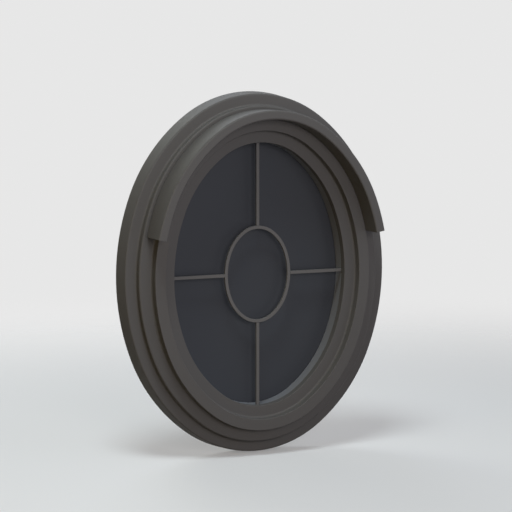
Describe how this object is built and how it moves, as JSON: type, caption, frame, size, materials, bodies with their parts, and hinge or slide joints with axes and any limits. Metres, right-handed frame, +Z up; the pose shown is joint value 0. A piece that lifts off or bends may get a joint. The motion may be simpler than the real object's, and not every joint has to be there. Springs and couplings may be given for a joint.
{
  "type": "oval window",
  "caption": "Fixed oval window: stepped surround, hood mould over its upper half, double glazing and thin bars that hold an oval hub.",
  "frame": {"origin": "centre of the oval, on the plane of the wall's face, which is the surround's back", "axes": "+Z up, -Y out of the wall towards the front, +X to the right as seen from the front"},
  "size_m": [0.9398, 0.321, 1.1996],
  "materials": {
    "surround_paint": "satin warm grey masonry paint",
    "frame_paint": "satin grey joinery paint",
    "bar_paint": "satin warm grey joinery paint",
    "glass": "smooth dark glass",
    "spacer": "mill finish",
    "rubber": "matt black",
    "tape": "matt foam",
    "packer": "moulded",
    "dowel": "bare beech",
    "zinc": "zinc plated",
    "strap_steel": "galvanised"
  },
  "bodies": {
    "root": {"surround": "surround_paint", "hood_mould": "surround_paint", "hood_dowels": "dowel", "wall_studs": "zinc", "window_frame": "frame_paint", "frame_tape": "tape", "frame_straps": "strap_steel", "strap_screws": "zinc", "hub_ring": "bar_paint", "spoke_top": "bar_paint", "spoke_bottom": "bar_paint", "spoke_left": "bar_paint", "spoke_right": "bar_paint", "bar_pins": "zinc", "outer_pane": "glass", "inner_pane": "glass", "spacer_bar": "spacer", "edge_seal": "rubber", "outer_gasket": "rubber", "inner_gasket": "rubber", "setting_blocks": "packer", "location_blocks": "packer", "glazing_bead": "frame_paint", "bead_screws": "zinc"}
  },
  "joints": []
}
